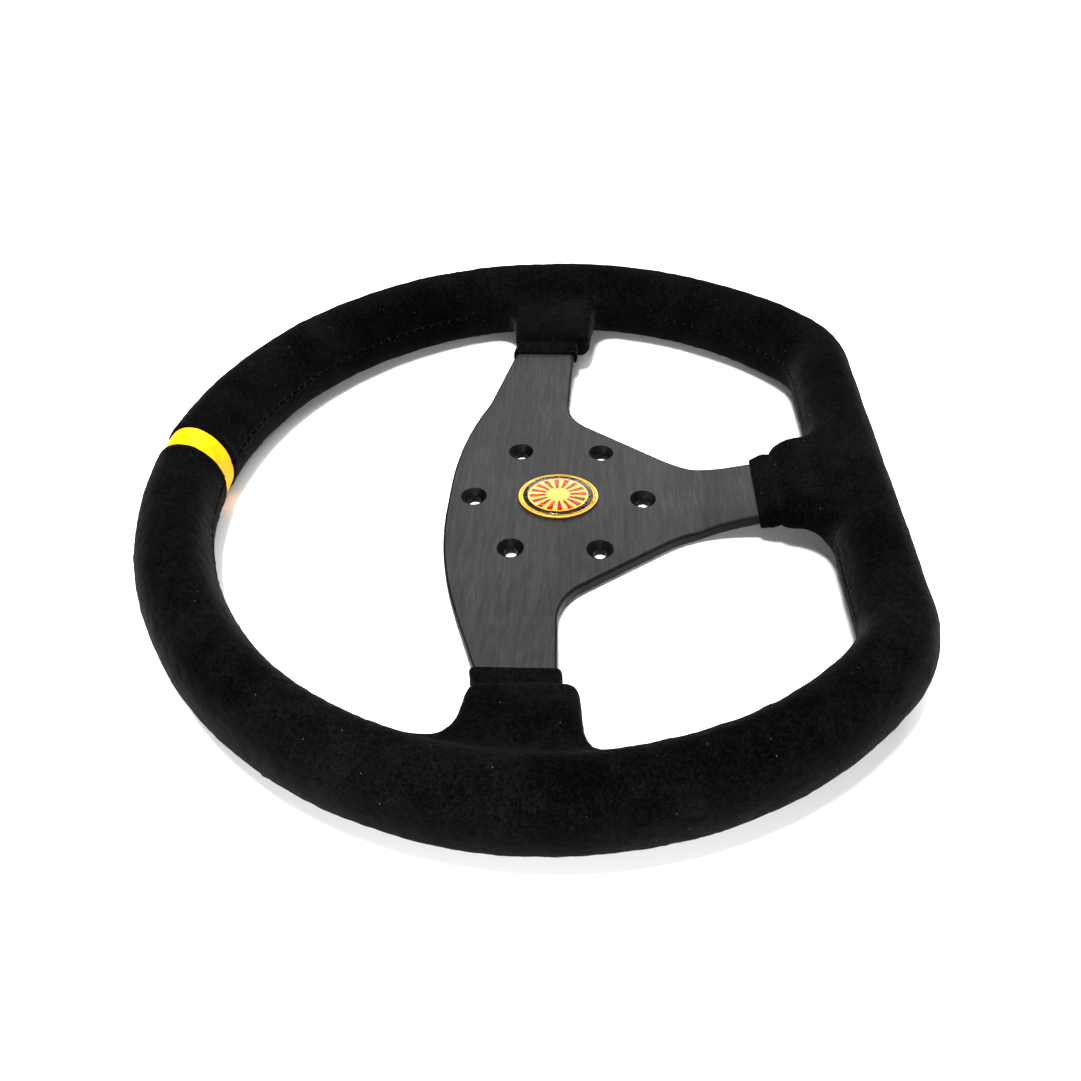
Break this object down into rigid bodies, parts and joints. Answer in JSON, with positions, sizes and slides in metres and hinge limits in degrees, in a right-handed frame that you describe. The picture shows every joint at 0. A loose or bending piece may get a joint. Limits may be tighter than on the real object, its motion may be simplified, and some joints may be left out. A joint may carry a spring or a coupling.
{
  "type": "steering wheel",
  "caption": "Flat-bottomed competition steering wheel: suede-wrapped grip on a bent, brushed black spoke plate with a countersunk hub bolt circle and a stripe at twelve o'clock.",
  "frame": {"origin": "centre of the hub bolt circle, on the back face of the spoke plate, where the boss or quick release seats", "axes": "+Z along the steering axis towards the driver, +Y to twelve o'clock, +X to three o'clock as the driver sees it"},
  "size_m": [0.32, 0.2911, 0.0352],
  "materials": {
    "anodised_plate": "brushed along the width of the wheel, then black anodised",
    "core_aluminium": "mill finish, hidden inside the grip",
    "grip_foam": "dense moulded polyurethane foam, hidden under the suede",
    "suede": "matt black suede with a short nap",
    "marker_leather": "smooth satin yellow leather",
    "seam_thread": "twisted black polyester thread",
    "adhesive_foam": "thin double-sided foam tape",
    "badge_metal": "polished gold foil on a thin plate",
    "badge_resin": "clear domed resin with a gold tint"
  },
  "bodies": {
    "root": {"spoke_plate": "anodised_plate", "rim_core_ring": "core_aluminium", "core_rivets": "core_aluminium", "rim_foam": "grip_foam", "suede_upper_left": "suede", "suede_upper_right": "suede", "suede_lower_left": "suede", "suede_lower_right": "suede", "centre_marker": "marker_leather", "cuff_left": "suede", "cuff_right": "suede", "cuff_bottom": "suede", "band_left": "suede", "band_right": "suede", "band_bottom": "suede", "seam_upper_left": "seam_thread", "seam_upper_right": "seam_thread", "seam_lower_left": "seam_thread", "seam_lower_right": "seam_thread", "cuff_seam_left": "seam_thread", "cuff_seam_right": "seam_thread", "cuff_seam_bottom": "seam_thread", "badge_adhesive": "adhesive_foam", "badge_base": "badge_metal", "badge_dome": "badge_resin"}
  },
  "joints": []
}
